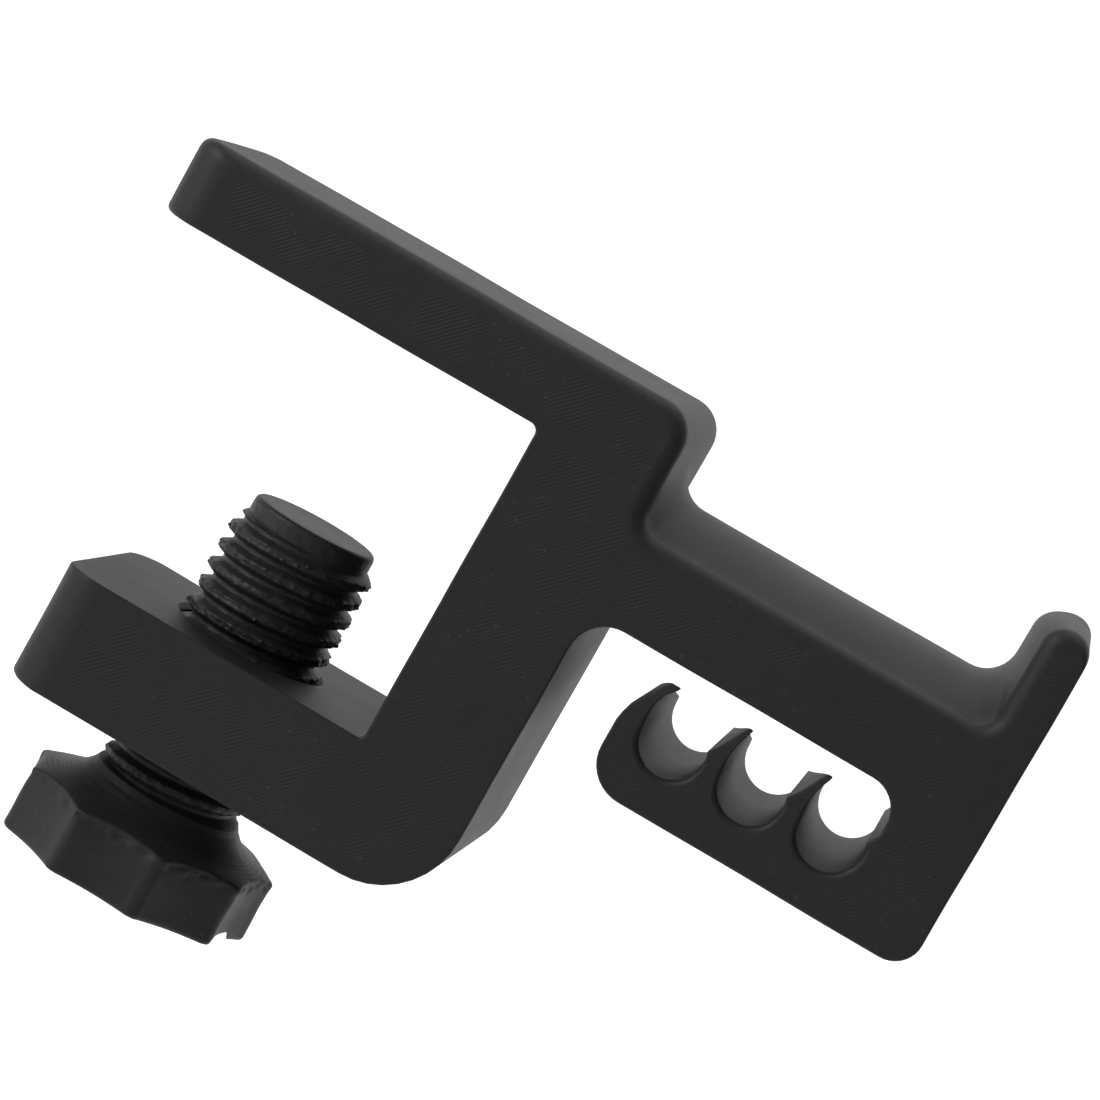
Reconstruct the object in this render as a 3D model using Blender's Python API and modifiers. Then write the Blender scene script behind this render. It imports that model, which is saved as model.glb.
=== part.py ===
# Headphone hook that clamps on a desk edge, with a thumb screw and three cable clips.
# Metres, +Z up. The origin is on the underside of the upper arm, above the screw's axis.
# +X points away from the desk, towards the hook. The body is the same on both sides of Y = 0.

import math

import bmesh
import bpy
from mathutils import Vector

MM = 0.001

# Clamp: upper arm, post and lower jaw
WIDTH = 34.0 * MM
ARM_END = -30.5 * MM
ARM_TOP = 9.6 * MM
DESK_GAP = 40.0 * MM
POST_INNER = 19.0 * MM
POST_OUTER = 34.0 * MM
JAW_END = -20.5 * MM
JAW_BOTTOM = -54.4 * MM
HEEL_RADIUS = 10.0 * MM
POST_TOP_RADIUS = 4.0 * MM
TIP_RADIUS = 5.0 * MM
EDGE_FILLET = 2.0 * MM

# Hook: a crowned saddle between the post and the end lip
HOOK_UNDERSIDE = -14.9 * MM
HOOK_END = 83.7 * MM
SADDLE_TOP = -0.3 * MM
SADDLE_CROWN = 4.0 * MM
LIP_INNER = 76.7 * MM
LIP_CROWN = 1.5 * MM
LIP_TOP = 9.8 * MM
LIP_RADIUS = 2.5 * MM
INNER_FILLET = 4.0 * MM
SIDE_INNER_FILLET = 2.2 * MM

# Cable leg under the hook's end, with three clips between slanting claws
LEG_END = 42.4 * MM
LEG_BOTTOM = -31.6 * MM
LEG_WALL = 73.7 * MM
CLIP_FIRST = 49.2 * MM
CLIP_PITCH = 10.0 * MM
CLIP_HEIGHT = -22.9 * MM
CLIP_RADIUS = 3.9 * MM
CLAW_TIP = -16.9 * MM
CLAW_DROP = 5.5 * MM
CLIP_CHAMFER = 0.7 * MM

# Thread: single start, right-handed
PITCH = 2.5 * MM
CREST_RADIUS = 8.85 * MM
ROOT_RADIUS = 7.5 * MM
FLANK = math.radians(30.0)
CREST_HALF_WIDTH = 0.15 * MM
CREST_HEIGHT = -31.2 * MM
CREST_ANGLE = math.pi
NUT_CORE_RADIUS = 8.1 * MM
CLEARANCE = 0.3 * MM
THREAD_STEPS = 24

# Thumb screw
SCREW_TOP = -24.1 * MM
TIP_DISC_RADIUS = 7.8 * MM
TIP_DISC_THICKNESS = 2.0 * MM
TIP_CHAMFER = 0.5 * MM
SHOULDER = -59.7 * MM
SHOULDER_RADIUS = 9.25 * MM
LOBE_TOP = -63.8 * MM
KNOB_BOTTOM = -71.6 * MM
KNOB_RADIUS = 15.9 * MM
KNOB_VALLEY_RADIUS = 14.5 * MM
KNOB_LOBES = 9
KNOB_LOBE_ANGLE = math.radians(10.7)
KNOB_EDGE = 0.6 * MM
NICK_WIDTH = 1.7 * MM
NICK_HEIGHT = 1.3 * MM
NICK_OFFSET = 13.3 * MM
NICK_DIRECTION = math.radians(-80.4)


# The scene starts empty, with one collection for the hook and one for its cutters.
for old in list(bpy.data.objects):
    bpy.data.objects.remove(old, do_unlink=True)
hook_parts = bpy.data.collections.new("headphone_hook")
cutters = bpy.data.collections.new("cutters")
for group in (hook_parts, cutters):
    bpy.context.scene.collection.children.link(group)


def material(name, colour, roughness):
    made = bpy.data.materials.new(name)
    made.use_nodes = True
    surface = made.node_tree.nodes["Principled BSDF"]
    surface.inputs["Base Color"].default_value = (*colour, 1.0)
    surface.inputs["Roughness"].default_value = roughness
    return made


def add_object(name, data, group):
    made = bpy.data.objects.new(name, data)
    group.objects.link(made)
    if group is cutters:
        made.hide_render = True
        made.display_type = "WIRE"
    return made


def round_corners(corners, steps):
    # Corners are (x, z, radius). A radius of 0 keeps the corner sharp.
    outline = []
    for i, (x, z, radius) in enumerate(corners):
        here = Vector((x, z))
        if radius == 0:
            outline.append(here)
            continue
        before = (Vector(corners[i - 1][:2]) - here).normalized()
        after = (Vector(corners[(i + 1) % len(corners)][:2]) - here).normalized()
        half = before.angle(after) / 2
        centre = here + (before + after).normalized() * (radius / math.sin(half))
        start = here + before * (radius / math.tan(half)) - centre
        end = here + after * (radius / math.tan(half)) - centre
        turn = start.angle_signed(end)
        for k in range(steps + 1):
            angle = -turn * k / steps
            cos, sin = math.cos(angle), math.sin(angle)
            outline.append(centre + Vector((start.x * cos - start.y * sin, start.x * sin + start.y * cos)))
    return outline


def extruded(name, outline, thickness, group):
    # A filled 2D outline with its thickness centred on its own plane, as a mesh with merged points
    curve = bpy.data.curves.new(name, "CURVE")
    curve.dimensions = "2D"
    curve.fill_mode = "BOTH"
    curve.extrude = thickness / 2
    spline = curve.splines.new("POLY")
    spline.points.add(len(outline) - 1)
    for point, (x, y) in zip(spline.points, outline):
        point.co = (x, y, 0, 1)
    spline.use_cyclic_u = True
    flat = bpy.data.objects.new(name + "_curve", curve)
    bpy.context.scene.collection.objects.link(flat)
    bpy.context.view_layer.update()
    mesh = bpy.data.meshes.new_from_object(flat.evaluated_get(bpy.context.evaluated_depsgraph_get()))
    mesh.name = name
    bpy.data.objects.remove(flat, do_unlink=True)
    bpy.data.curves.remove(curve)
    tidy = bmesh.new()
    tidy.from_mesh(mesh)
    bmesh.ops.remove_doubles(tidy, verts=tidy.verts, dist=1e-6)
    bmesh.ops.recalc_face_normals(tidy, faces=tidy.faces)
    tidy.to_mesh(mesh)
    tidy.free()
    return add_object(name, mesh, group)


def stand_up(thing):
    # Turns a piece drawn in X and Y so that its Y becomes Z and its thickness runs along Y
    for vertex in thing.data.vertices:
        x, y, z = vertex.co
        vertex.co = (x, -z, y)


def profile_mesh(name, points, closed, group):
    # A profile in the XZ half plane, ready for a Screw modifier
    made = bpy.data.meshes.new(name)
    count = len(points)
    edges = [(i, (i + 1) % count) for i in range(count if closed else count - 1)]
    made.from_pydata([(r, 0, z) for r, z in points], edges, [])
    return add_object(name, made, group)


def turned(name, points, steps, group):
    # A profile from top to bottom, turned once round Z
    made = profile_mesh(name, points, False, group)
    lathe = made.modifiers.new("Turned", "SCREW")
    lathe.axis = "Z"
    lathe.angle = math.tau
    lathe.steps = steps
    lathe.render_steps = steps
    lathe.use_merge_vertices = True
    lathe.merge_threshold = 1e-6
    return made


def combine(thing, other, operation, name):
    step = thing.modifiers.new(name, "BOOLEAN")
    step.operation = operation
    step.solver = "EXACT"
    step.object = other
    return step


def bevel_edges(thing, chosen, width, segments):
    worked = bmesh.new()
    worked.from_mesh(thing.data)
    edges = [e for e in worked.edges if chosen(e.verts[0].co, e.verts[1].co)]
    bmesh.ops.bevel(worked, geom=edges, offset=width, segments=segments, profile=0.5, affect="EDGES")
    bmesh.ops.recalc_face_normals(worked, faces=worked.faces)
    worked.to_mesh(thing.data)
    worked.free()


# Body blank: side outline from the arm's end round the clamp, the hook and the cable leg.
# Its top is left too high, and one cutter shapes the whole top.
def clip_arc(centre):
    # Round the bottom of a clip, from the right side over to the left
    start, end = math.radians(20), math.radians(-180)
    points = []
    for k in range(11):
        a = start + (end - start) * k / 10
        points.append((centre + CLIP_RADIUS * math.cos(a), CLIP_HEIGHT + CLIP_RADIUS * math.sin(a), 0))
    return points


def claw(centre):
    # The claw left of a clip: up its right side, over the tip and down its left side
    offsets = [(-4.05, -20.5), (-3.6, -18.5), (-3.1, -17.3), (-3.35, -16.9), (-3.6, -17.1), (-4.1, -17.8), (-5.3, -20.0)]
    return [(centre + x * MM, z * MM, 0) for x, z in offsets]


BLANK_TOP = 14.0 * MM
clips = [CLIP_FIRST + CLIP_PITCH * i for i in range(3)]
corners = [
    (ARM_END, 0, 0),
    (POST_INNER, 0, 1.0 * MM),
    (POST_INNER, -DESK_GAP, 0.8 * MM),
    (JAW_END, -DESK_GAP, 0),
    (JAW_END, JAW_BOTTOM, 0),
    (POST_OUTER, JAW_BOTTOM, HEEL_RADIUS),
    (POST_OUTER, HOOK_UNDERSIDE, 4.5 * MM),
    (LEG_WALL, HOOK_UNDERSIDE, 3.8 * MM),
    (LEG_WALL, -20.0 * MM, 0),
]
corners += clip_arc(clips[2]) + claw(clips[2])
corners += clip_arc(clips[1]) + claw(clips[1])
corners += clip_arc(clips[0])
# The leg's end claw is wider, and leans over the first clip.
corners += [
    (45.1 * MM, -20.5 * MM, 0),
    (45.8 * MM, -18.6 * MM, 0),
    (46.8 * MM, -17.4 * MM, 0),
    (46.5 * MM, -16.8 * MM, 0),
    (45.7 * MM, -17.0 * MM, 0),
    (45.0 * MM, -18.8 * MM, 0),
    (43.0 * MM, -21.6 * MM, 0),
    (LEG_END, -22.8 * MM, 0),
    (LEG_END, LEG_BOTTOM, 4.7 * MM),
    (HOOK_END, LEG_BOTTOM, 3.5 * MM),
    (HOOK_END, BLANK_TOP, 0),
    (ARM_END, BLANK_TOP, 0),
]
body = extruded("clamp_body", round_corners(corners, 5), WIDTH, hook_parts)
stand_up(body)
body.data.materials.append(material("printed_plastic_black", (0.022, 0.022, 0.024), 0.48))


def is_tip_edge(a, b):
    upright = abs(a.x - b.x) < 1e-6 and abs(a.y - b.y) < 1e-6
    return upright and (abs(a.x - ARM_END) < 1e-6 or abs(a.x - JAW_END) < 1e-6)


def is_clip_edge(a, b):
    on_side = abs(a.y - b.y) < 1e-6 and abs(abs(a.y) - WIDTH / 2) < 1e-6
    for centre in clips:
        reach = [math.hypot(v.x - centre, v.z - CLIP_HEIGHT) for v in (a, b)]
        if on_side and max(abs(r - CLIP_RADIUS) for r in reach) < 1e-6:
            return True
    return False


bevel_edges(body, is_tip_edge, TIP_RADIUS, 5)
bevel_edges(body, is_clip_edge, CLIP_CHAMFER, 1)


# Top cutter: everything above the arm, the post, the saddle and the lip.
# Its lower face is blended by hand from the middle outline and the side outline, since a crowned
# saddle that runs into a crowned lip is no extrusion and no turned shape.
def top_outline(saddle, lip, fillet):
    path = round_corners(
        [
            (ARM_END - 10 * MM, ARM_TOP, 0),
            (POST_OUTER, ARM_TOP, POST_TOP_RADIUS),
            (POST_OUTER, saddle, fillet),
            (lip, saddle, fillet),
            (lip, LIP_TOP, LIP_RADIUS),
            (HOOK_END, LIP_TOP, LIP_RADIUS),
            (HOOK_END + 0.001 * MM, LIP_TOP - 6 * MM, 0),
            (HOOK_END + 6 * MM, LIP_TOP - 6 * MM, 0),
        ],
        5,
    )
    return path


def outward(path, i):
    # Direction away from the body at a point of the path
    before = path[max(i - 1, 0)]
    after = path[min(i + 1, len(path) - 1)]
    along = (after - before).normalized()
    return Vector((-along.y, along.x))


middle = top_outline(SADDLE_TOP, LIP_INNER, INNER_FILLET)
side = top_outline(SADDLE_TOP - SADDLE_CROWN, LIP_INNER + LIP_CROWN, SIDE_INNER_FILLET)
half = WIDTH / 2
flat = half - EDGE_FILLET
stations = [0, 0.25 * flat, 0.5 * flat, 0.75 * flat, flat]
stations += [flat + EDGE_FILLET * math.sin(math.radians(a)) for a in (22.5, 45, 67.5, 90)] + [half + 1 * MM]
stations = [-y for y in reversed(stations[1:])] + stations
crown_radius = (flat ** 2 + SADDLE_CROWN ** 2) / (2 * SADDLE_CROWN)
crown_depth = crown_radius - math.sqrt(crown_radius ** 2 - flat ** 2)
rows = []
for y in stations:
    reach = min(abs(y), half)
    crown = (crown_radius - math.sqrt(crown_radius ** 2 - min(reach, flat) ** 2)) / crown_depth
    past = max(reach - flat, 0) / EDGE_FILLET
    sink = EDGE_FILLET * (1 - math.sqrt(max(1 - past ** 2, 0)))
    row = []
    for i, (m, s) in enumerate(zip(middle, side)):
        point = m.lerp(s, crown)
        drop = sink * (0 if i >= len(middle) - 2 else 1)
        point = point - outward(side, i) * drop
        row.append((point.x, y, point.y))
    row.append((row[-1][0], y, 25 * MM))
    row.append((row[0][0], y, 25 * MM))
    rows.append(row)
length = len(rows[0])
vertices = [v for row in rows for v in row]
faces = []
for j in range(len(rows) - 1):
    for i in range(length):
        k = (i + 1) % length
        faces.append((j * length + i, j * length + k, (j + 1) * length + k, (j + 1) * length + i))
faces.append(tuple(range(length)))
faces.append(tuple(range(len(vertices) - 1, len(vertices) - 1 - length, -1)))
top_mesh = bpy.data.meshes.new("top_cutter")
top_mesh.from_pydata(vertices, [], faces)
shaped = bmesh.new()
shaped.from_mesh(top_mesh)
bmesh.ops.recalc_face_normals(shaped, faces=shaped.faces)
shaped.to_mesh(top_mesh)
shaped.free()
top_cutter = add_object("top_cutter", top_mesh, cutters)
combine(body, top_cutter, "DIFFERENCE", "Crowned top")

# Claws slope down towards the back.
slope = [
    (-half - 1 * MM, CLAW_TIP + 0.02 * MM),
    (half + 1 * MM, CLAW_TIP - CLAW_DROP),
    (half + 1 * MM, CLAW_TIP + 1.2 * MM),
    (-half - 1 * MM, CLAW_TIP + 1.2 * MM),
]
claw_cutter = extruded("claw_cutter", slope, 32 * MM, cutters)
for vertex in claw_cutter.data.vertices:
    y, z, x = vertex.co
    vertex.co = (x + 57 * MM, y, z)
combine(body, claw_cutter, "DIFFERENCE", "Sloping claws")


# Threads: one ridge profile goes round the axis and climbs one pitch a turn.
def thread_ridge(name, bottom, turns, inner, grow):
    def half_width(radius):
        return CREST_HALF_WIDTH + (CREST_RADIUS + grow - radius) * math.tan(FLANK) + grow * 0.0

    outer = CREST_RADIUS + grow
    inner_half = min(half_width(inner), PITCH / 2 - 0.06 * MM)
    extra = grow * 0.42
    base = CREST_HEIGHT - PITCH * CREST_ANGLE / math.tau
    first = base - PITCH * math.ceil((base - bottom) / PITCH)
    points = [
        (inner, first - inner_half),
        (outer, first - CREST_HALF_WIDTH - extra),
        (outer, first + CREST_HALF_WIDTH + extra),
        (inner, first + inner_half),
    ]
    made = profile_mesh(name, points, True, cutters)
    helix = made.modifiers.new("Helix", "SCREW")
    helix.axis = "Z"
    helix.angle = math.tau
    helix.screw_offset = PITCH
    helix.iterations = turns
    helix.steps = THREAD_STEPS
    helix.render_steps = THREAD_STEPS
    helix.use_merge_vertices = False
    bpy.context.view_layer.update()
    mesh = bpy.data.meshes.new_from_object(made.evaluated_get(bpy.context.evaluated_depsgraph_get()))
    mesh.name = name
    made.modifiers.clear()
    made.data = mesh
    capped = bmesh.new()
    capped.from_mesh(mesh)
    bmesh.ops.remove_doubles(capped, verts=capped.verts, dist=1e-6)
    rim = [e for e in capped.edges if len(e.link_faces) == 1]
    bmesh.ops.edgeloop_fill(capped, edges=rim)
    bmesh.ops.recalc_face_normals(capped, faces=capped.faces)
    capped.to_mesh(mesh)
    capped.free()
    return made


# Tapped hole through the lower jaw
tap_core = turned(
    "tap",
    [
        (0, -DESK_GAP + 2 * MM),
        (NUT_CORE_RADIUS, -DESK_GAP + 2 * MM),
        (NUT_CORE_RADIUS, JAW_BOTTOM - 2 * MM),
        (0, JAW_BOTTOM - 2 * MM),
    ],
    THREAD_STEPS,
    cutters,
)
tap_ridge = thread_ridge("tap_ridge", JAW_BOTTOM - 2 * MM, 9, NUT_CORE_RADIUS - 0.4 * MM, CLEARANCE)
combine(tap_core, tap_ridge, "UNION", "Thread groove")
combine(body, tap_core, "DIFFERENCE", "Tapped hole")

# Thumb screw: threaded shaft and lobed knob in one piece
shaft_top = SCREW_TOP - TIP_DISC_THICKNESS - CLEARANCE
screw = turned(
    "thumb_screw",
    [
        (0, shaft_top + 1 * MM),
        (ROOT_RADIUS, shaft_top + 1 * MM),
        (ROOT_RADIUS, SHOULDER - 3 * MM),
        (0, SHOULDER - 3 * MM),
    ],
    THREAD_STEPS,
    hook_parts,
)
screw.data.materials.append(material("printed_plastic_screw", (0.018, 0.018, 0.02), 0.5))
ridge = thread_ridge("screw_ridge", SHOULDER - 3 * MM, 15, ROOT_RADIUS - 0.3 * MM, 0.0)
combine(screw, ridge, "UNION", "Thread")
lead = CREST_RADIUS + 0.4 * MM - TIP_DISC_RADIUS
envelope = turned(
    "screw_envelope",
    [
        (0, shaft_top),
        (TIP_DISC_RADIUS, shaft_top),
        (TIP_DISC_RADIUS + lead, shaft_top - lead),
        (TIP_DISC_RADIUS + lead, SHOULDER - 2 * MM),
        (0, SHOULDER - 2 * MM),
    ],
    THREAD_STEPS,
    cutters,
)
combine(screw, envelope, "INTERSECT", "Lead-in")

# Knob: lobes with shallow hollows between them, under a cone that runs up to the shaft
lobes = []
for k in range(KNOB_LOBES):
    crest = KNOB_LOBE_ANGLE + math.tau * k / KNOB_LOBES
    step = math.tau / KNOB_LOBES
    for part in (-0.06, 0.06, 0.2, 0.35, 0.5, 0.65, 0.8):
        # The hollow is an arc: deepest halfway to the next lobe.
        depth = 0 if abs(part) < 0.1 else math.sin(math.pi * (part - 0.06) / 0.88) ** 0.75
        r = KNOB_RADIUS + (KNOB_VALLEY_RADIUS - KNOB_RADIUS) * depth
        lobes.append(Vector((r * math.cos(crest + part * step), r * math.sin(crest + part * step))))
knob = extruded("knob_blank", lobes, SHOULDER - KNOB_BOTTOM + 4 * MM, cutters)
for vertex in knob.data.vertices:
    vertex.co.z += (SHOULDER + KNOB_BOTTOM) / 2
knob_form = turned(
    "knob_form",
    [
        (0, SHOULDER),
        (SHOULDER_RADIUS, SHOULDER),
        (SHOULDER_RADIUS + 1.3 * MM, SHOULDER - 1.8 * MM),
        (SHOULDER_RADIUS + 3.5 * MM, SHOULDER - 3.1 * MM),
        (KNOB_RADIUS, LOBE_TOP),
        (KNOB_RADIUS + 0.5 * MM, LOBE_TOP - 0.9 * MM),
        (KNOB_RADIUS + 0.5 * MM, KNOB_BOTTOM + KNOB_EDGE + 0.5 * MM),
        (KNOB_RADIUS - KNOB_EDGE, KNOB_BOTTOM),
        (0, KNOB_BOTTOM),
    ],
    48,
    cutters,
)
combine(knob, knob_form, "INTERSECT", "Turned form")
combine(screw, knob, "UNION", "Knob")

# Small nick in the knob's lower edge
nick_mesh = bpy.data.meshes.new("knob_nick")
nick = bmesh.new()
bmesh.ops.create_cube(nick, size=1.0)
for vertex in nick.verts:
    x, y, z = vertex.co
    across = NICK_OFFSET + x * NICK_WIDTH
    along = 8 * MM + y * 16 * MM
    cos, sin = math.cos(NICK_DIRECTION), math.sin(NICK_DIRECTION)
    vertex.co = (along * cos - across * sin, along * sin + across * cos, KNOB_BOTTOM + z * 2 * NICK_HEIGHT)
bmesh.ops.reverse_faces(nick, faces=nick.faces)
nick.to_mesh(nick_mesh)
nick.free()
combine(screw, add_object("knob_nick", nick_mesh, cutters), "DIFFERENCE", "Nick")

# Plain end of the screw, which presses on the desk from below
tip = turned(
    "screw_tip",
    [
        (0, SCREW_TOP),
        (TIP_DISC_RADIUS - TIP_CHAMFER, SCREW_TOP),
        (TIP_DISC_RADIUS, SCREW_TOP - TIP_CHAMFER),
        (TIP_DISC_RADIUS, SCREW_TOP - TIP_DISC_THICKNESS),
        (0, SCREW_TOP - TIP_DISC_THICKNESS),
    ],
    48,
    hook_parts,
)
tip.data.materials.append(material("printed_plastic_tip", (0.03, 0.03, 0.032), 0.5))
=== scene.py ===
import math

import bmesh
import bpy
import numpy as np
from mathutils import Matrix, Vector


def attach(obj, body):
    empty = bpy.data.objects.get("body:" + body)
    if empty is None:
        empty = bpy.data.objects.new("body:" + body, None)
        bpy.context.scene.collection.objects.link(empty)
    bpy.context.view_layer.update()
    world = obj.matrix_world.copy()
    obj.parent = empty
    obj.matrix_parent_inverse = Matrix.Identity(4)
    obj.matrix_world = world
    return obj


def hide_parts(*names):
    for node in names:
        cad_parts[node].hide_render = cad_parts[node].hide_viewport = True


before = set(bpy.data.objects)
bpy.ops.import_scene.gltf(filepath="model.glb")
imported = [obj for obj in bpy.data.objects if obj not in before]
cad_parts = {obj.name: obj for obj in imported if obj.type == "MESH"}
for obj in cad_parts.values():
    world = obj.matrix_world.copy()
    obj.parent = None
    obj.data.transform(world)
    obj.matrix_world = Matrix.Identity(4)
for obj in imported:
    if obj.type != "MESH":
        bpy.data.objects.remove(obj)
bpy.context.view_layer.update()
mm = 0.001
print("frame loaded:", ", ".join(sorted(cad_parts)))


def smoothFaces(piece, angle):
    piece.data.shade_smooth()
    piece.data.set_sharp_from_angle(angle=math.radians(angle))


def asMesh(name, vertices, faces, smoothAngle=34):
    mesh = bpy.data.meshes.new(name)
    mesh.from_pydata(vertices.reshape(-1, 3).tolist(), [], faces)
    mesh.update()
    piece = bpy.data.objects.new(name, mesh)
    bpy.context.scene.collection.objects.link(piece)
    smoothFaces(piece, smoothAngle)
    return piece


def ringQuads(rows, around):
    # Quads between closed rings that follow each other: ring j's point i and its neighbour, and the
    # same two points on ring j + 1.
    j, i = np.meshgrid(np.arange(rows - 1), np.arange(around), indexing="ij")
    k = (i + 1) % around
    quads = np.stack([j * around + i, j * around + k, (j + 1) * around + k, (j + 1) * around + i], -1)
    return quads.reshape(-1, 4).tolist()


def cappedRings(rows, around):
    # The same quads, with one flat face over the first ring and one over the last
    faces = ringQuads(rows, around)
    faces.append(list(range(around - 1, -1, -1)))
    faces.append([(rows - 1) * around + i for i in range(around)])
    return faces


def ripple(u, v, seed, amount, scale):
    # Soft unevenness: the sum of seven sine waves of seeded direction, length and phase, over about the
    # root of seven.
    dice = np.random.default_rng(seed)
    waves, rootOfWaves = 7, 2.6
    total = np.zeros(np.broadcast(u, v).shape)
    for _ in range(waves):
        angle = dice.uniform(0, math.tau)
        wave = scale * dice.uniform(0.6, 1.9)
        phase = dice.uniform(0, math.tau)
        total = total + np.sin((u * math.cos(angle) + v * math.sin(angle)) * math.tau / wave + phase)
    return total * amount / rootOfWaves


def fixNormals(piece, mergeDistance=2e-7):
    worked = bmesh.new()
    worked.from_mesh(piece.data)
    bmesh.ops.remove_doubles(worked, verts=worked.verts, dist=mergeDistance)
    bmesh.ops.recalc_face_normals(worked, faces=worked.faces)
    worked.to_mesh(piece.data)
    worked.free()


def applyCuts(piece, cutters, smoothAngle=34):
    # The Booleans are worked out once, and their result becomes the piece's own mesh.
    for cutter in cutters:
        cut = piece.modifiers.new(cutter.name, "BOOLEAN")
        cut.operation = "DIFFERENCE"
        cut.solver = "EXACT"
        cut.object = cutter
    bpy.context.view_layer.update()
    done = bpy.data.meshes.new_from_object(piece.evaluated_get(bpy.context.evaluated_depsgraph_get()))
    piece.modifiers.clear()
    piece.data = done
    done.name = piece.name
    for cutter in cutters:
        bpy.data.objects.remove(cutter, do_unlink=True)
    smoothFaces(piece, smoothAngle)


class Flow:
    # A socket of a material's tree. Sums, differences and products of Flows add Math nodes.
    def __init__(self, tree, socket=None):
        self.tree = tree
        self.socket = socket

    def node(self, kind, settings=None, sockets=None, results=(0,)):
        # Any node: its settings first, then the values or links of its sockets, by name or number. One
        # output comes back as a Flow, and several as a list.
        made = self.tree.nodes.new(kind)
        for name, value in (settings or {}).items():
            setattr(made, name, value)
        for key, value in (sockets or {}).items():
            if isinstance(value, Flow):
                self.tree.links.new(value.socket, made.inputs[key])
            else:
                made.inputs[key].default_value = value
        found = [Flow(self.tree, made.outputs[key]) for key in results]
        return found[0] if len(found) == 1 else found

    def math(self, operation, other=0.0):
        return self.node("ShaderNodeMath", {"operation": operation}, {0: self, 1: other})

    def __add__(self, other):
        return self.math("ADD", other)

    def __sub__(self, other):
        return self.math("SUBTRACT", other)

    def __rsub__(self, other):
        return self.node("ShaderNodeMath", {"operation": "SUBTRACT"}, {0: other, 1: self})

    def __mul__(self, other):
        return self.math("MULTIPLY", other)

    __radd__ = __add__
    __rmul__ = __mul__


def step(value, low, high):
    # 0 below low, 1 above high, and a smooth rise between them
    return value.node(
        "ShaderNodeMapRange",
        {"interpolation_type": "SMOOTHSTEP"},
        {"Value": value, "From Min": low, "From Max": high},
    )


def mixColour(factor, a, b):
    # Colour a where the factor is 0, colour b where it is 1
    return factor.node("ShaderNodeMix", {"data_type": "RGBA"}, {0: factor, 6: (*a, 1), 7: (*b, 1)}, (2,))


def newMaterial(name):
    made = bpy.data.materials.new(name)
    made.use_nodes = True
    made.node_tree.nodes.clear()
    return made, Flow(made.node_tree)


def setSurface(flow, sockets):
    # A Principled shader with these values or links goes to the material's output.
    surface = flow.node("ShaderNodeBsdfPrincipled", {}, sockets)
    flow.node("ShaderNodeOutputMaterial", {}, {"Surface": surface}, ())


cameraSettings = {
    "place": (71.08 * mm, -424.21 * mm, 33.83 * mm),
    "turn": (82.815, -29.3145, 9.7332),  # degrees
    "lens": 122.63,
    "sensor": 36,
    "clipStart": 0.01,
}
camera = bpy.data.objects.new("camera", bpy.data.cameras.new("camera"))
camera.location = cameraSettings["place"]
camera.rotation_euler = [math.radians(a) for a in cameraSettings["turn"]]
camera.data.lens = cameraSettings["lens"]
camera.data.sensor_width = cameraSettings["sensor"]
camera.data.clip_start = cameraSettings["clipStart"]
bpy.context.scene.collection.objects.link(camera)
bpy.context.scene.camera = camera
print("camera set")


# The clamp body, in millimetres: X along the arm, Y across the width, Z up, and zero under the arm on
# the screw's axis
body = {
    "width": 34.0,
    "armEnd": -30.5,
    "armTop": 9.6,
    "gap": 40.0,
    "postInner": 19.0,
    "postOuter": 34.0,
    "postFoot": 1.0,
    "jawEnd": -20.5,
    "jawBottom": -54.4,
    "jawTopCorner": 0.4,
    "smallCorner": 0.8,
    "heelRadius": 10.0,
    "tipRadius": 5.0,
    "tipCorner": (1.2, 1.6),  # in the middle of the width, at the sides
    "topFillet": 2.0,
    "edge": 0.35,
    "hookUnder": -14.9,
    "hookEnd": 83.7,
    "hookFillet": 4.5,
    "shoulder": 4.0,
    "saddle": -0.3,
    "saddleCrown": 4.0,
    "saddleFillet": (4.0, 2.4),  # in the middle of the width, at the sides
    "lip": 76.7,
    "lipCrown": 1.5,
    "lipTop": 9.8,
    "lipFoot": 2.0,
    "lipCorner": 2.6,
    "legEnd": 42.4,
    "legTip": -23.6,
    "legRadius": 4.7,
    "legBottom": -31.6,
    "legWall": 73.7,
    "legWallFoot": -20.0,
    "slotFillet": 3.8,
    "outerCorner": 3.5,
    "clips": (49.2, 59.2, 69.2),
    "clipHeight": -22.9,
    "clipRadius": 3.9,
    "clipRim": 0.8,
    "clawRim": (0.18, 0.25),  # between two clips, at the leg's end
    "clawTip": -16.9,
    "clawDrop": 5.5,
    "clawSpan": (41.2, 67.5),
    "pointSpacing": 1.2,
    "ringCount": 13,
    "filletSteps": (15, 30, 44, 56, 66, 74, 80, 85, 88.2, 90),  # degrees
    "perimeters": 4,
    "lineWidth": 0.42,
    "waviness": 0.035,
    "waveLength": 23.0,
    "holeMouth": 9.6,
}


def unit(v):
    return v / np.maximum(np.linalg.norm(v, axis=-1, keepdims=True), 1e-9)


def cross2(a, b):
    return a[..., 0] * b[..., 1] - a[..., 1] * b[..., 0]


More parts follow.
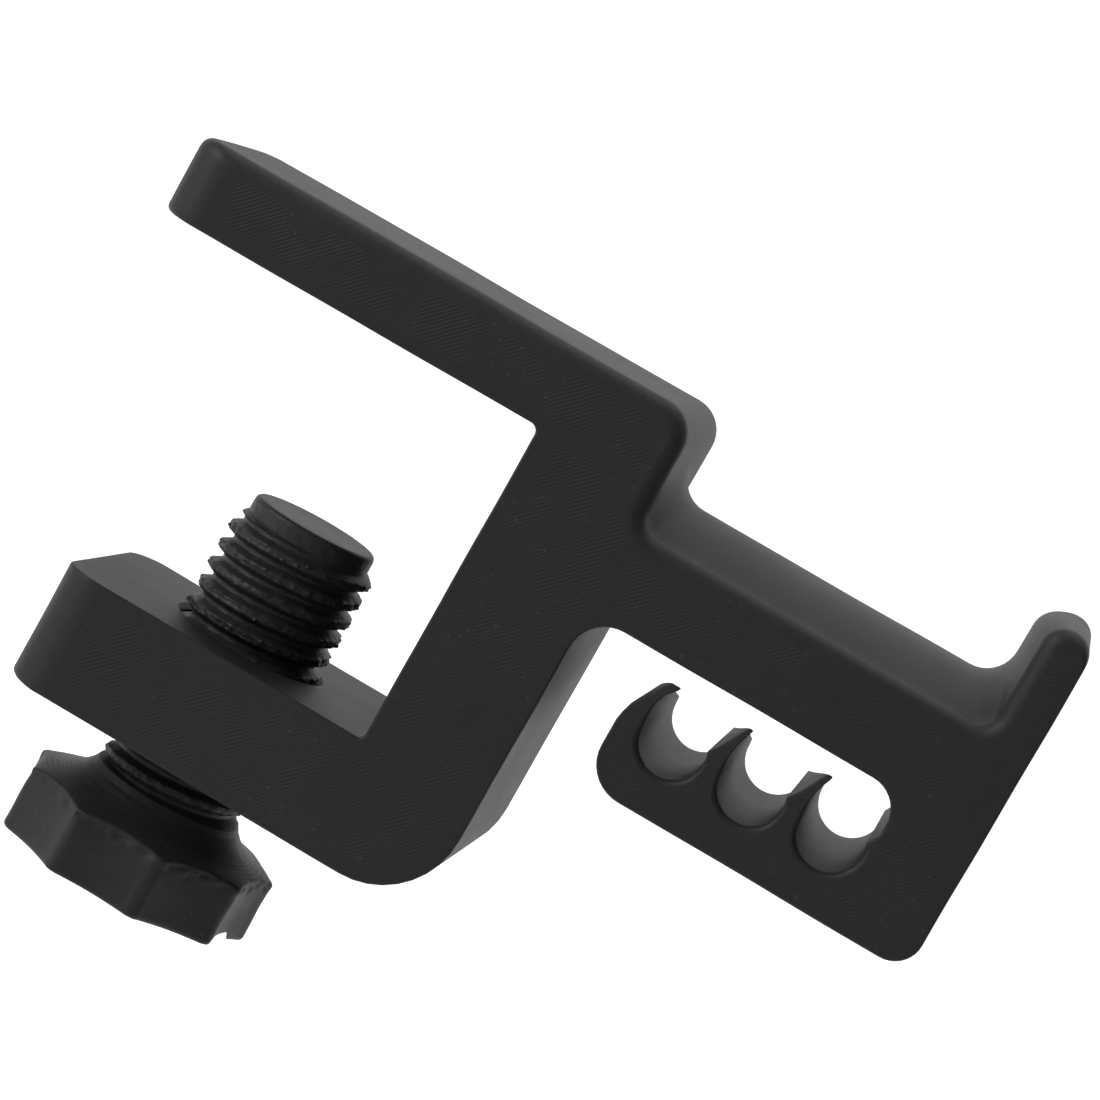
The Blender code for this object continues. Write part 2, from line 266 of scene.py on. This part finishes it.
def bendCorners(v, radius, steps=9):
    # Each corner point of each ring becomes an arc that touches both its sides: centre + a cos t + (a
    # turned a quarter) sin t. A corner without a radius stays one point.
    before, after = unit(np.roll(v, 1, 1) - v), unit(np.roll(v, -1, 1) - v)
    half = np.arccos(np.clip((before * after).sum(-1, keepdims=True), -1, 1)) / 2
    r = radius[..., None]
    centre = v + unit(before + after) * r / np.sin(half)
    a = v + before * r / np.tan(half) - centre
    c = v + after * r / np.tan(half) - centre
    turn = np.arctan2(cross2(a, c), (a * c).sum(-1))
    t = turn[..., None, None] * np.linspace(0, 1, steps + 1)[:, None]
    quarter = np.stack([-a[..., 1], a[..., 0]], -1)
    arcs = centre[..., None, :] + a[..., None, :] * np.cos(t) + quarter[..., None, :] * np.sin(t)
    keep = np.ones((v.shape[1], steps + 1), bool)
    keep[radius.max(0) == 0, 1:] = False
    arcs = np.where((radius == 0)[..., None, None], v[..., None, :], arcs)
    owner = np.repeat(np.arange(v.shape[1]), keep.sum(1))
    return arcs.reshape(len(v), -1, 2)[:, keep.ravel()], owner


def shrinkCorners(v, radius, inset, gentleTurn=0.5, leastRadius=0.08):
    # Every side moves inwards by its own inset, and a corner goes to where its two moved sides meet.
    # Where the outline turns by less than the gentle sine, the point moves by the mean of the two
    # insets instead. Corners that stick out lose radius and hollow ones gain it.
    side = unit(np.roll(v, -1, 1) - v)
    n1 = np.stack([side[..., 1], -side[..., 0]], -1)
    n0, d0 = np.roll(n1, 1, 1), np.roll(inset, 1, 1)
    cross = cross2(n0, n1)
    gentle = np.abs(cross) < gentleTurn
    safe = np.where(gentle, 1, cross)
    meetX = -d0 * n1[..., 1] + inset * n0[..., 1]
    meetY = d0 * n1[..., 0] - inset * n0[..., 0]
    meet = np.stack([meetX, meetY], -1) / safe[..., None]
    along = -unit(n0 + n1) * ((d0 + inset) / 2)[..., None]
    moved = v + np.where(gentle[..., None], along, meet)
    grown = radius - np.sign(cross) * (d0 + inset) / 2
    return moved, np.where(radius == 0, 0, np.maximum(grown, leastRadius))


def clipArc(centre):
    # A clip's round bottom: an arc from 20 degrees on the right, underneath, to the left side
    a = np.radians(np.linspace(20, -180, 25))
    xs = centre + body["clipRadius"] * np.cos(a)
    zs = body["clipHeight"] + body["clipRadius"] * np.sin(a)
    return [(x, z, 0, body["clipRim"]) for x, z in zip(xs, zs)]


def claw(centre):
    # A claw leans over the clip on its right: up the steep right side, over the tip, down the slanting
    # left side.
    points = [(-4.02, -21.6), (-4.05, -20.5), (-3.85, -19.4), (-3.55, -18.4), (-3.15, -17.35)]
    points += [(-3.3, -16.95), (-3.6, -17.05), (-4.1, -17.8), (-4.65, -18.85), (-5.2, -19.9), (-5.75, -20.8)]
    return [(centre + x, z, 0, body["clawRim"][0]) for x, z in points]


def endClaw(centre):
    # The claw at the leg's end is broader and ends on the leg's rounded side.
    points = [(-4.02, -21.6), (-4.05, -20.5), (-3.8, -19.4), (-3.35, -18.5), (-2.4, -17.4)]
    points += [(-2.55, -16.85), (-3.3, -16.9), (-4.2, -18.0), (-5.3, -19.6), (-6.25, -21.2), (-6.65, -22.6)]
    return [(centre + x, z, 0, body["clawRim"][1]) for x, z in points]


def bodyCorners(saddle, lip, fillet, tipCorner):
    # The side outline's corners, each as x, z, radius and the rounding of the side that follows
    b, e, t = body, body["edge"], body["topFillet"]
    corners = [
        (b["armEnd"], 0, b["smallCorner"], e),
        (b["postInner"], 0, b["postFoot"], e),
        (b["postInner"], -b["gap"], b["smallCorner"], e),
        (b["jawEnd"], -b["gap"], b["jawTopCorner"], e),
        (b["jawEnd"], b["jawBottom"], b["smallCorner"], e),
        (b["postOuter"], b["jawBottom"], b["heelRadius"], e),
        (b["postOuter"], b["hookUnder"], b["hookFillet"], e),
        (b["legWall"], b["hookUnder"], b["slotFillet"], e),
        (b["legWall"], b["legWallFoot"], 0, e),
    ]
    first, second, third = b["clips"]
    corners += clipArc(third) + claw(third) + clipArc(second) + claw(second)
    corners += clipArc(first) + endClaw(first)
    corners += [
        (b["legEnd"], b["legTip"], 0, e),
        (b["legEnd"], b["legBottom"], b["legRadius"], e),
        (b["hookEnd"], b["legBottom"], b["outerCorner"], e),
        (b["hookEnd"], b["lipFoot"], 0, e),
        (b["hookEnd"], b["lipTop"], b["lipCorner"], t),
        (lip, b["lipTop"], b["lipCorner"], t),
        (lip, saddle, fillet, t),
        (b["postOuter"], saddle, fillet, t),
        (b["postOuter"], b["armTop"], b["shoulder"], t),
        (b["armEnd"], b["armTop"], tipCorner, e),
    ]
    corners = np.array(corners, float)
    return corners[:, :2], corners[:, 2], corners[:, 3]


def outlineNormals(p):
    # Outward direction at each point of each ring: the mean of its two sides' normals
    side = unit(np.roll(p, -1, 1) - p)
    normal = np.stack([side[..., 1], -side[..., 0]], -1)
    return unit(normal + np.roll(normal, 1, 1))


def roomInside(p, slant=0.15, wide=1e3, slope=0.25):
    # For each point, the radius of the largest circle that touches it from inside and holds no other
    # point of the outline: distance squared over twice the distance across. Three passes then soften
    # sudden jumps between neighbours.
    inward = -outlineNormals(p[None])[0]
    to = p[None] - p[:, None]
    across = np.einsum("ijk,ik->ij", to, inward)
    square = (to**2).sum(-1)
    faced = across > slant * np.sqrt(square) + 1e-9
    room = np.where(faced, square / (2 * np.maximum(across, 1e-9)), wide).min(1)
    for _ in range(3):
        room = np.minimum(room, (np.roll(room, 1) + np.roll(room, -1)) / 2 + slope)
    return room


def ringPlaces():
    # Where the rings stand along Y, and the perimeter line that each one is on. They are evenly spaced
    # in the middle, close up by a sine towards both side faces, and go on inwards over each face.
    b = body
    half = b["width"] / 2
    inner = half - b["topFillet"]
    bends = inner + b["topFillet"] * np.sin(np.radians(b["filletSteps"]))
    ys = np.concatenate([np.linspace(0, inner, b["ringCount"]), bends])
    ys = np.concatenate([-ys[:0:-1], ys])
    lines = np.arange(1, b["perimeters"] + 1)
    ys = np.concatenate([0 * lines - half, ys, 0 * lines + half])
    run = np.zeros(len(ys))
    run[: len(lines)] = lines[::-1]
    run[-len(lines) :] = lines
    return ys, run


def shrinkLimits(dense, owner, radius, rim):
    # How thin the part is at each corner decides how far it may shrink there: first the rounding of its
    # rim, then the share of a full line width by which each perimeter line moves inwards. A corner with a
    # radius counts as roomy.
    b = body
    roundRoom, rimShare, lineShare, topShare = 9.0, 0.42, 0.8, 0.3
    free = np.full(len(radius), 1e3)
    np.minimum.at(free, owner, roomInside(dense))
    free = np.where(radius > 0, roundRoom, free)
    free = np.minimum(free, np.roll(free, -1))
    rim = np.minimum(rim, free * rimShare)
    room = np.clip((free * lineShare - rim) / (b["perimeters"] * b["lineWidth"]), 0.01, 1)
    return rim, np.where(rim > 1, topShare, room)


def spreadPoints(rings, dense):
    # Long sides get evenly spaced points, the same number on every ring: each is a share of the way
    # from one point to the next.
    gaps = np.linalg.norm(np.roll(dense, -1, 0) - dense, axis=1)
    counts = np.maximum(1, np.round(gaps / body["pointSpacing"]).astype(int))
    which = np.repeat(np.arange(len(gaps)), counts)
    share = np.concatenate([np.arange(c) / c for c in counts])[None, :, None]
    return rings[:, which] * (1 - share) + np.roll(rings, -1, 1)[:, which] * share


def makeBody():
    # Rings of the side outline stand along Y. Each blends from the middle outline to the side outline
    # by the crown's arc, is pulled in where the arm's and jaw's ends are round, and shrinks by a
    # quarter circle at both side faces.
    b = body
    half = b["width"] / 2
    inner = half - b["topFillet"]
    crown = b["saddleCrown"]
    (fillet, sideFillet), (tipCorner, sideTipCorner) = b["saddleFillet"], b["tipCorner"]
    middle, middleRadius, rim = bodyCorners(b["saddle"], b["lip"], fillet, tipCorner)
    sideLip = b["lip"] + b["lipCrown"]
    side, sideRadius, _ = bodyCorners(b["saddle"] - crown, sideLip, sideFillet, sideTipCorner)
    dense, owner = bendCorners(side[None], sideRadius[None])
    rim, room = shrinkLimits(dense[0], owner, sideRadius, rim)
    ys, run = ringPlaces()
    reach = np.abs(ys)[:, None]
    arcRadius = (inner**2 + crown**2) / (2 * crown)
    share = (arcRadius - np.sqrt(arcRadius**2 - np.minimum(reach, inner) ** 2)) / crown
    corners = middle + (side - middle) * share[..., None]
    radius = middleRadius + (sideRadius - middleRadius) * share
    past = np.clip((reach - (half - b["tipRadius"])) / b["tipRadius"], 0, 1)
    pull = b["tipRadius"] * (1 - np.sqrt(1 - past**2))
    isEnd = (side[:, 0] == b["armEnd"]) | (side[:, 0] == b["jawEnd"])
    corners[..., 0] += pull * isEnd
    over = np.clip((reach - (half - rim)) / rim, 0, 1)
    sink = rim * (1 - np.sqrt(1 - over**2)) + run[:, None] * b["lineWidth"] * room
    rings, _ = bendCorners(*shrinkCorners(corners, radius, sink))
    rings = spreadPoints(rings, dense[0])
    wave = ripple(rings[..., 0] + ys[:, None] * 0.35, rings[..., 1], 5, b["waviness"], b["waveLength"])
    rings = rings + wave[..., None] * outlineNormals(rings)
    around = rings.shape[1]
    vertices = np.stack([rings[..., 0], np.repeat(ys[:, None], around, 1), rings[..., 1]], -1) * mm
    piece = asMesh("clampBodyPrint", vertices, cappedRings(len(ys), around))
    edgeRun = piece.data.attributes.new("edgeRun", "FLOAT", "POINT")
    edgeRun.data.foreach_set("value", np.repeat(run, around).astype(np.float32))
    return piece


def clawWedge():
    # A wedge over the plane that falls from the front tips of the claws to their low back ends
    front, back = -body["width"] / 2 - 1, body["width"] / 2 + 1
    low, high = body["clawTip"] + 0.05, body["clawTip"] + 1.35  # just over the tips, and well clear of them
    profile = [(front, low), (back, low - body["clawDrop"]), (back, high), (front, high)]
    vertices = np.array([(x, y, z) for x in body["clawSpan"] for y, z in profile]) * mm
    faces = [(0, 1, 2, 3), (7, 6, 5, 4), (0, 4, 5, 1), (1, 5, 6, 2), (2, 6, 7, 3), (3, 7, 4, 0)]
    return asMesh("clawWedge", vertices, faces)


# The thumb screw, in millimetres, upright on its axis
screw = {
    "pitch": 2.5,
    "crest": 8.85,
    "root": 7.8,
    "crestHalf": 0.4,
    "crestHeight": -31.2,
    "crestAngle": math.pi,
    "flankAngle": math.radians(30),
    "top": -24.1,
    "tipRadius": 7.75,
    "tipChamfer": 0.6,
    "tipSteps": np.radians([0, 22, 45, 67, 90]),
    "plainEnd": 2.2,
    "leadLength": 1.4,
    "shoulder": -59.7,
    # height and radius from the lobes' tops to the shoulder
    "flare": [
        (-64.2, 17.0),
        (-63.75, 15.9),
        (-63.35, 14.6),
        (-62.8, 12.75),
        (-62.2, 11.4),
        (-61.5, 10.4),
        (-60.6, 9.6),
        (-59.7, 9.1),
    ],
    "flareSoftness": 0.5,
    "lobeTop": -63.8,
    "bottom": -71.6,
    "lobeRadius": 15.9,
    "valleyRadius": 14.5,
    "lobes": 9,
    "lobeAngle": math.radians(10.7),
    "edge": 0.7,
    "edgeSteps": np.radians([0, 15, 30, 45, 60, 75]),
    "around": 192,
    "rise": 0.125,
    "knobRise": 0.3,
    "roughness": 0.08,
    "blobHeight": 0.22,
    "knobWaviness": 0.05,
    "rimBumps": 0.14,
    "nickSide": (12.45, 14.15),
    "nickHeight": 1.3,
    "nickRamp": 0.25,
    "nickDirection": math.radians(9.6),
}
tap = {"clearance": 0.3, "root": 8.1, "around": 96, "rise": 0.2}


def threadRadius(angle, z, grow=0.0):
    # Height above or below the nearest crest, which climbs one pitch a turn, gives the radius: crest,
    # straight flank, root.
    s = screw
    climb = s["crestHeight"] + s["pitch"] * (angle - s["crestAngle"]) / math.tau
    off = (z - climb) / s["pitch"]
    off = np.abs(off - np.round(off)) * s["pitch"]
    down = np.maximum(off - s["crestHalf"] - grow * 0.42, 0) / math.tan(s["flankAngle"])
    return np.maximum(s["crest"] + grow - down, s["root"] + grow)


def lobedRadius(angle):
    # From one lobe's crest to the next, the radius dips by a half sine wave raised to a power below
    # one, which keeps the crest narrow.
    s = screw
    crestShare, roundness = 0.05, 0.75
    share = ((angle - s["lobeAngle"]) / math.tau * s["lobes"]) % 1.0
    dip = np.sin(np.clip((share - crestShare) / (1 - 2 * crestShare), 0, 1) * math.pi) ** roundness
    return s["lobeRadius"] + (s["valleyRadius"] - s["lobeRadius"]) * dip


def softMin(a, b, soft):
    # The smaller of two, with a rounded corner where they cross
    h = np.clip(0.5 + 0.5 * (b - a) / soft, 0, 1)
    return b + (a - b) * h - soft * h * (1 - h)


def knobRadius(angle, z):
    # The smaller of the lobes' radius and the flare's, less a quarter circle at the lower edge
    s = screw
    flareZ, flareR = np.array(s["flare"]).T
    cone = np.where(z < flareZ[0], flareR[0] + flareZ[0] - z, np.interp(z, flareZ, flareR))
    side = softMin(lobedRadius(angle) + 0 * z, cone, s["flareSoftness"])
    rise = np.clip(z - s["bottom"], 0, s["edge"])
    return side - s["edge"] + np.sqrt(np.maximum(s["edge"] ** 2 - (s["edge"] - rise) ** 2, 0))


def screwRadius(angle, z):
    # The knob up to the shoulder, the thread above it, and the plain end. The thread's crests are worn
    # and carry small blobs, more the further they stand out. The knob is slightly uneven, and its bumps
    # are strongest along a bell curve just under the lobes' tops.
    s = screw
    unrolled = angle * 9.0  # about the arc's length at the crest
    worn = ripple(unrolled, z, 11, s["roughness"], 2.2)
    worn = worn + ripple(unrolled, z, 12, s["roughness"] * 0.6, 0.8)
    blobs = np.maximum(ripple(unrolled, z, 21, 1.0, 1.1) - 0.55, 0) * s["blobHeight"]
    thread = threadRadius(angle, z)
    thread = thread + (worn + blobs) * (thread - s["root"]) / (s["crest"] - s["root"])
    lead = s["tipRadius"] + np.maximum(s["top"] - s["tipChamfer"] - s["leadLength"] - z, 0)
    shaft = np.minimum(thread, lead)
    shaft = np.where(z > s["top"] - s["plainEnd"], s["tipRadius"] + worn * 0.3, shaft)
    knob = np.maximum(knobRadius(angle, z), thread * (z > s["shoulder"] - s["pitch"]))
    radius = np.where(z < s["shoulder"] + 0.01, knob, shaft)
    radius = radius + ripple(angle * 4.0, z * 0.6, 13, s["knobWaviness"], 4.0) * (z < s["shoulder"] - 1.0)
    nearRim = np.exp(-(((z - s["lobeTop"] + 0.4) / 0.7) ** 2))
    return radius + ripple(angle * 15.0, z, 14, s["rimBumps"], 1.6) * nearRim


def makeScrew():
    # One closed skin of rings: the underside, the knob, the thread, the plain end's rounded edge and
    # its flat top. Every ring has a radius and a height for each angle, and a point closes each end.
    s = screw
    around = s["around"]
    angle = np.linspace(0, math.tau, around, endpoint=False)[None]
    foot = s["bottom"] + s["edge"] * (1 - np.cos(s["edgeSteps"]))
    knobSide = np.arange(s["bottom"] + s["edge"], s["lobeTop"] - 0.6, s["knobRise"])
    above = np.arange(s["lobeTop"] - 0.5, s["top"] - s["tipChamfer"] - 0.01, s["rise"])
    sideZ = np.concatenate([foot, knobSide, above])[:, None] + 0 * angle
    sideR = screwRadius(angle, sideZ)
    under = np.concatenate([[0.03, 0.3, 0.6], np.linspace(0.72, 1, 20)[:-1]])[:, None]
    edgeR = (s["tipRadius"] - s["tipChamfer"] * (1 - np.cos(s["tipSteps"])))[:, None]
    edgeZ = (s["top"] - s["tipChamfer"] * (1 - np.sin(s["tipSteps"])))[:, None]
    flatR = (s["tipRadius"] - s["tipChamfer"]) * np.linspace(1, 0, 9)[1:-1, None]
    r = np.concatenate([sideR[0] * under, sideR, edgeR + 0 * angle, flatR + 0 * angle])
    underZ, flatZ = s["bottom"] + 0 * under * angle, s["top"] + 0 * flatR * angle
    z = np.concatenate([underZ, sideZ, edgeZ + 0 * angle, flatZ])
    x, y = r * np.cos(angle), r * np.sin(angle)
    # the nick: a narrow band of the lower edge is lifted
    across = x * math.cos(s["nickDirection"]) + y * math.sin(s["nickDirection"])
    low, high = s["nickSide"]
    inside = np.clip((across - low) / s["nickRamp"], 0, 1)
    inside = inside * np.clip((high - across) / s["nickRamp"], 0, 1)
    z = np.maximum(z, s["bottom"] + s["nickHeight"] * inside)
    vertices = np.stack([x, y, z], -1).reshape(-1, 3)
    centres = [[0, 0, s["bottom"]], [0, 0, s["top"]]]
    n = len(r)
    i = np.arange(around)
    k = (i + 1) % around
    faces = ringQuads(n, around)
    bottomPoint, topPoint = np.full(around, n * around), np.full(around, n * around + 1)
    faces += np.stack([k, i, bottomPoint], -1).tolist()
    faces += np.stack([(n - 1) * around + i, (n - 1) * around + k, topPoint], -1).tolist()
    return asMesh("thumbScrewPrint", np.concatenate([vertices, centres]) * mm, faces, 50)


def tapCutter():
    # The thread's radius with its clearance, on a coarser net, widened to a cone at both mouths of the
    # hole
    b = body
    angle = np.linspace(0, math.tau, tap["around"], endpoint=False)[None]
    zs = np.arange(b["jawBottom"] - 1.0, -b["gap"] + 1.01, tap["rise"])
    z = zs[:, None] + 0 * angle
    radius = np.maximum(threadRadius(angle, z, tap["clearance"]), tap["root"])
    mouth = np.maximum(b["holeMouth"] - (-b["gap"] - z), b["holeMouth"] - (z - b["jawBottom"]))
    radius = np.maximum(radius, np.minimum(mouth, b["holeMouth"]))
    vertices = np.stack([radius * np.cos(angle), radius * np.sin(angle), z], -1) * mm
    return asMesh("tapCutter", vertices, cappedRings(len(zs), tap["around"]))


bodyPiece = makeBody()
cutters = [clawWedge(), tapCutter()]
for made in (bodyPiece, *cutters):
    fixNormals(made)
applyCuts(bodyPiece, cutters)
print("clamp body made:", len(bodyPiece.data.polygons), "faces")
screwPiece = makeScrew()
fixNormals(screwPiece)
print("thumb screw made:", len(screwPiece.data.polygons), "faces")


# The black print. Scales are for metres.
bodyFinish = {
    "black": (0.0145, 0.0145, 0.0153),
    "worn": (0.030, 0.030, 0.0315),
    "roughness": 0.56,
    "gloss": 0.3,
    "broadScale": 90.0,
    "patchScale": 330.0,
    "speckScale": 520.0,
    "fineScale": 1400.0,
    "fillPitch": 0.42 * mm,
    "layerPitch": 0.2 * mm,
    "fillHeight": 0.013 * mm,
    "layerHeight": 0.004 * mm,
    "speckHeight": 0.04 * mm,
    "grainHeight": 0.012 * mm,
}
screwFinish = {
    **bodyFinish,
    "black": (0.013, 0.013, 0.0138),
    "worn": (0.034, 0.034, 0.035),
    "roughness": 0.52,
    "layerHeight": 0.005 * mm,
}


def noise(place, scale, detail):
    return place.node("ShaderNodeTexNoise", {}, {"Vector": place, "Scale": scale, "Detail": detail})


def faceLines(start, finish, x, y, z, facing, place, broad):
    # Slanting fill lines on the side faces, perimeter lines near their rims, and layer lines everywhere
    # else. Each is a wave of the distance over its pitch. Height and brightness come back.
    onSide = step(start.node("ShaderNodeSeparateXYZ", {}, {0: facing}, (1,)).math("ABSOLUTE"), 0.86, 0.97)
    run = start.node("ShaderNodeAttribute", {"attribute_name": "edgeRun"}, {}, ("Fac",))
    inFill = step(run, 3.2, 3.9)
    wobble = (broad - 0.5) * 1.6
    hatch = ((x - z) * (math.tau / (finish["fillPitch"] * math.sqrt(2))) + wobble).math("SINE")
    perimeter = (run * math.tau).math("COSINE")
    uneven = step(noise(place, finish["patchScale"], 2.0), 0.3, 0.62)
    lines = (hatch * inFill * (0.25 + uneven) + perimeter * (1.0 - inFill) * 0.45) * onSide
    layers = (y * (math.tau / finish["layerPitch"]) + wobble).math("SINE") * (1.0 - onSide)
    return lines * finish["fillHeight"] + layers * finish["layerHeight"], lines * 0.16 + layers * 0.05


def printedBlack(name, finish, sideFill):
    # Black plastic, a little paler where a line, grain or rare speck stands up, and smoother on the lines
    made, start = newMaterial(name)
    place, facing = start.node("ShaderNodeTexCoord", {}, {}, ("Object", "Normal"))
    x, y, z = start.node("ShaderNodeSeparateXYZ", {}, {0: place}, (0, 1, 2))
    broad = noise(place, finish["broadScale"], 3.0)
    fine = noise(place, finish["fineScale"], 2.0)
    cellSockets = {"Vector": place, "Scale": finish["speckScale"]}
    cells = start.node("ShaderNodeTexVoronoi", {"feature": "F1"}, cellSockets)
    specks = (1.0 - step(cells, 0.05, 0.16)) * step(broad, 0.46, 0.6)
    if sideFill:
        height, bright = faceLines(start, finish, x, y, z, facing, place, broad)
    else:
        layers = (z * (math.tau / finish["layerPitch"]) + (broad - 0.5) * 2.0).math("SINE")
        height, bright = layers * finish["layerHeight"], layers * 0.08
    height = height + specks * finish["speckHeight"] + (fine - 0.5) * finish["grainHeight"]
    shade = bright + (broad - 0.5) * 0.5 + (fine - 0.5) * 0.5 + specks * 1.6 + 0.3
    shade = shade.math("MAXIMUM", 0.0).math("MINIMUM", 1.0)
    rough = finish["roughness"] + (broad - 0.5) * 0.12 + (fine - 0.5) * 0.10 - bright * 0.25
    surface = {
        "Base Color": mixColour(shade, finish["black"], finish["worn"]),
        "Roughness": rough,
        "Specular IOR Level": finish["gloss"],
        "Normal": start.node("ShaderNodeBump", {}, {"Strength": 1.0, "Distance": 1.0, "Height": height}),
    }
    setSurface(start, surface)
    return made


bodyPiece.data.materials.append(printedBlack("printedBlackBody", bodyFinish, True))
screwPiece.data.materials.append(printedBlack("printedBlackScrew", screwFinish, False))
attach(bodyPiece, "clamp")
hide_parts("clamp_body")
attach(screwPiece, "screw")
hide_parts("thumb_screw", "screw_tip")
print("materials set")


# Floor and light, in metres
studio = {
    "floor": -0.22,
    "wide": 6.0,
    "front": -2.5,
    "back": 2.6,
    "bend": 1.2,
    "rise": 3.5,
    "pale": (0.72, 0.72, 0.72, 1),
    "roughness": 0.9,
    "glow": (0.12, 0.78),  # near, far
    "glowFrom": (-0.1, 0.3),
    "world": 0.24,
    "lightTarget": (0.03, 0, -0.02),
    "topLight": {"place": (0.0, 0.15, 0.9), "size": (0.8, 0.6), "power": 3.0},
    "leftLight": {"place": (-0.75, -0.42, 0.32), "size": (0.5, 0.5), "power": 5.0},
}


def makeSweep(columns=9):
    # A floor that curves up behind: a straight run, a quarter circle and a wall, carried along X
    s = studio
    a = np.radians(np.linspace(0, 90, 24))
    ys = np.concatenate([[s["front"]], s["back"] - s["bend"] + s["bend"] * np.sin(a), [s["back"]]])
    zs = np.concatenate([[s["floor"]], s["floor"] + s["bend"] * (1 - np.cos(a)), [s["floor"] + s["rise"]]])
    xs = np.linspace(-s["wide"] / 2, s["wide"] / 2, columns)
    rows = [np.stack([np.full(len(ys), x), ys, zs], -1) for x in xs]
    n = len(ys)
    j, i = np.meshgrid(np.arange(columns - 1), np.arange(n - 1), indexing="ij")
    faces = np.stack([j * n + i, (j + 1) * n + i, (j + 1) * n + i + 1, j * n + i + 1], -1)
    return asMesh("studioFloor", np.array(rows), faces.reshape(-1, 4).tolist())


def paleFloor():
    # A pale floor that glows more towards the back
    made, start = newMaterial("paleFloor")
    place = start.node("ShaderNodeTexCoord", {}, {}, ("Object",))
    towardsBack = step(start.node("ShaderNodeSeparateXYZ", {}, {0: place}, (1,)), *studio["glowFrom"])
    near, far = studio["glow"]
    surface = {
        "Base Color": studio["pale"],
        "Roughness": studio["roughness"],
        "Emission Color": mixColour(towardsBack, (near, near, near), (far, far, far)),
        "Emission Strength": 1.0,
    }
    setSurface(start, surface)
    return made


def areaLight(name):
    settings = studio[name]
    light = bpy.data.lights.new(name, "AREA")
    light.shape = "RECTANGLE"
    light.size, light.size_y = settings["size"]
    light.energy = settings["power"]
    lamp = bpy.data.objects.new(name, light)
    spot = Vector(settings["place"])
    aim = (Vector(studio["lightTarget"]) - spot).to_track_quat("-Z", "Y")
    lamp.matrix_world = Matrix.Translation(spot) @ aim.to_matrix().to_4x4()
    bpy.context.scene.collection.objects.link(lamp)


floor = makeSweep()
floor.data.materials.append(paleFloor())
world = bpy.data.worlds.new("studio")
world.use_nodes = True
world.node_tree.nodes["Background"].inputs[0].default_value = (1, 1, 1, 1)
world.node_tree.nodes["Background"].inputs[1].default_value = studio["world"]
bpy.context.scene.world = world
bpy.context.scene.view_settings.view_transform = "Standard"
areaLight("topLight")
areaLight("leftLight")
print("stage set")
